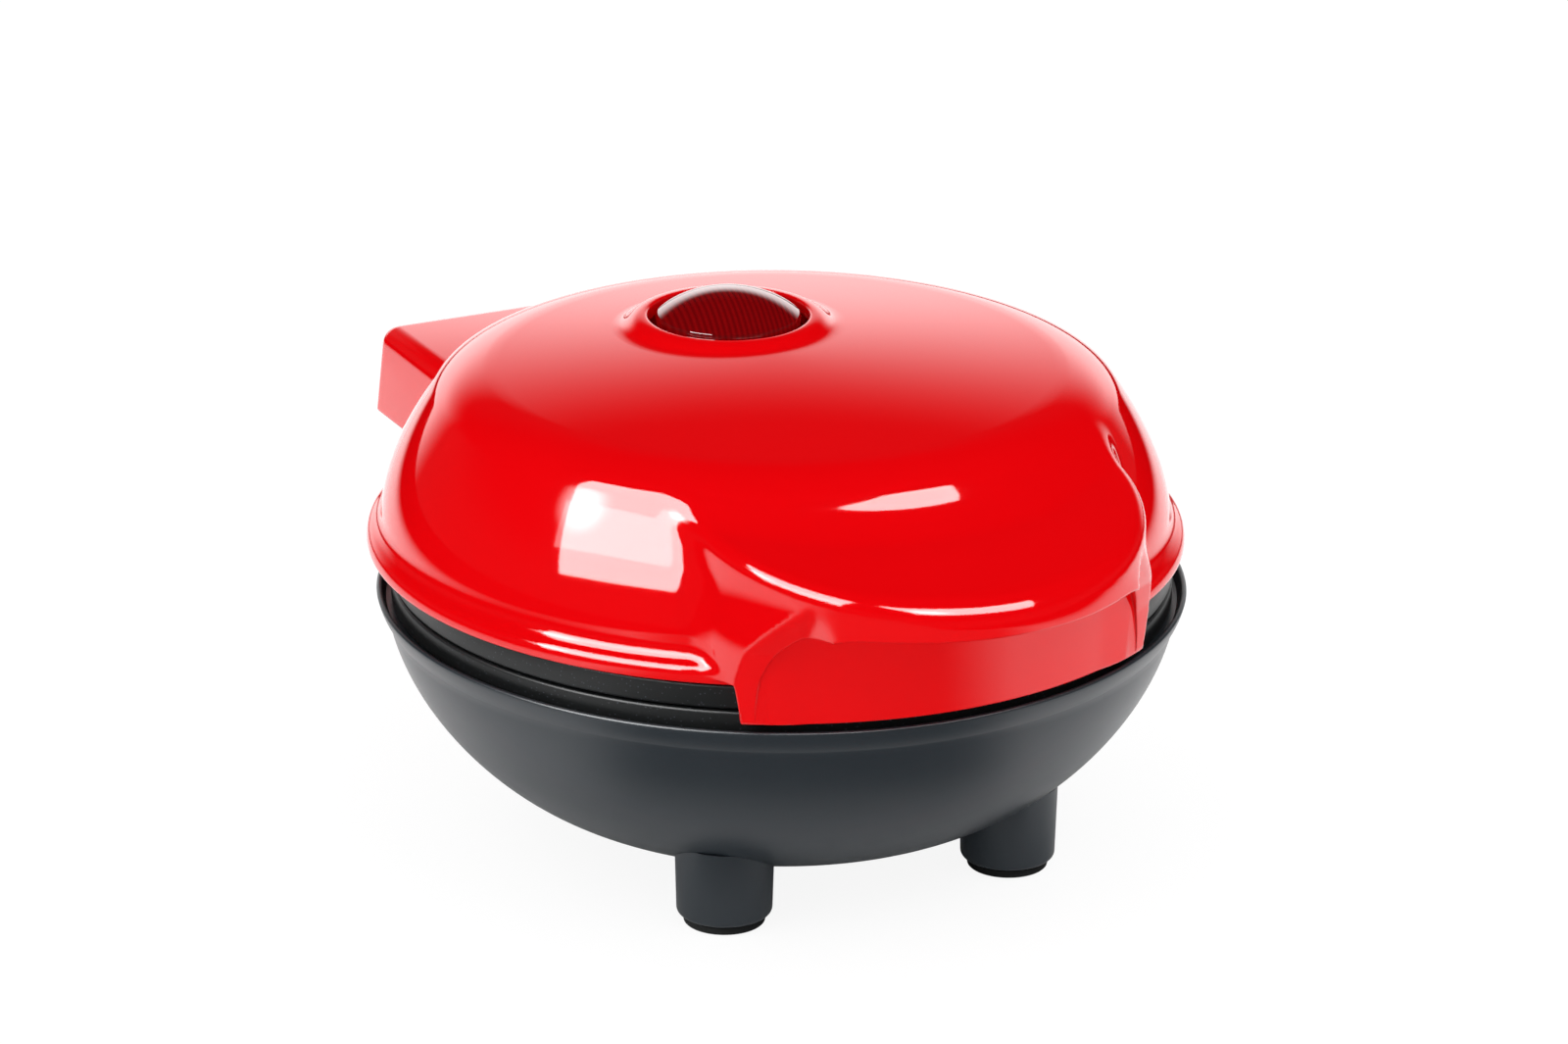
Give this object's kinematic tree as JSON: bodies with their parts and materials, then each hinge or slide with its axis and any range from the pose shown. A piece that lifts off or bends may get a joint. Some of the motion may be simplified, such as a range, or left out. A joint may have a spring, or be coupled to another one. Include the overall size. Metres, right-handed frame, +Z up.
{
  "type": "mini waffle maker",
  "caption": "Round table-top waffle maker: hinged domed lid with a front handle tongue and indicator lens, studded plates, and a bowl base on short legs with rubber pads",
  "frame": {"origin": "centre of the bounding box at its bottom, on the plane that the foot pads stand on", "axes": "+Z up, the front handle points to -Y, the hinge block to +Y, X runs across parallel to the hinge axis"},
  "size_m": [0.1298, 0.1676, 0.0842],
  "materials": {
    "bowl_grey": "satin dark grey moulded plastic",
    "lid_red": "high gloss red moulded plastic",
    "lens_red": "clear dark red plastic with fine ribs inside",
    "black_rubber": "matt black rubber",
    "plate_nonstick": "die cast aluminium with a dark speckled non-stick coating",
    "element_steel": "steel tube, dulled by heat",
    "white_insulator": "off-white heat resistant moulding",
    "black_plastic": "plain black moulding",
    "lamp_glass": "small clear glass tube",
    "loom_sleeve": "braided glass-fibre sleeve",
    "grey_lead": "silicone insulated wire",
    "red_lead": "silicone insulated wire",
    "plain_steel": "plain zinc plated steel"
  },
  "bodies": {
    "base": {"base_bowl": "bowl_grey", "foot_pad_front_right": "black_rubber", "foot_pad_front_left": "black_rubber", "foot_pad_back_left": "black_rubber", "foot_pad_back_right": "black_rubber", "base_screw_front_right": "plain_steel", "base_screw_front_left": "plain_steel", "base_screw_back_left": "plain_steel", "base_screw_back_right": "plain_steel", "cord_gland": "black_rubber", "hinge_pin_left": "plain_steel", "hinge_pin_right": "plain_steel", "lower_plate": "plate_nonstick", "lower_element": "element_steel", "lower_shield": "plain_steel", "lower_shield_screw_1": "plain_steel", "lower_shield_screw_2": "plain_steel", "lower_shield_screw_3": "plain_steel", "thermostat": "plain_steel", "thermostat_screw_left": "plain_steel", "thermostat_screw_right": "plain_steel", "thermal_fuse": "white_insulator", "terminal_block": "white_insulator", "terminal_screw_left": "plain_steel", "terminal_screw_right": "plain_steel", "live_lead": "red_lead", "fuse_lead": "red_lead", "thermostat_lead": "red_lead", "neutral_lead": "grey_lead", "hinge_loom": "loom_sleeve"},
    "lid": {"lid_shell": "lid_red", "indicator_lens": "lens_red", "lens_ring": "black_plastic", "lens_screw_1": "plain_steel", "lens_screw_2": "plain_steel", "lens_screw_3": "plain_steel", "lamp_holder": "white_insulator", "neon_lamp": "lamp_glass", "lid_frame": "plain_steel", "lid_screw_left": "plain_steel", "lid_screw_right": "plain_steel", "upper_plate": "plate_nonstick", "upper_plate_screw_front_right": "plain_steel", "upper_plate_screw_front_left": "plain_steel", "upper_plate_screw_back_left": "plain_steel", "upper_plate_screw_back_right": "plain_steel", "upper_element": "element_steel", "upper_shield": "plain_steel", "upper_shield_screw_1": "plain_steel", "upper_shield_screw_2": "plain_steel", "upper_shield_screw_3": "plain_steel", "lid_lead_left": "red_lead", "lid_lead_right": "red_lead", "lamp_lead_left": "red_lead", "lamp_lead_right": "red_lead"}
  },
  "joints": [
    {"name": "lid_hinge", "type": "hinge", "parent": "base", "child": "lid", "pos_m": [0, 0.06815, 0.0495], "axis": [-1, 0, 0], "range_deg": [0, 95], "deforming": ["hinge_loom"]}
  ]
}
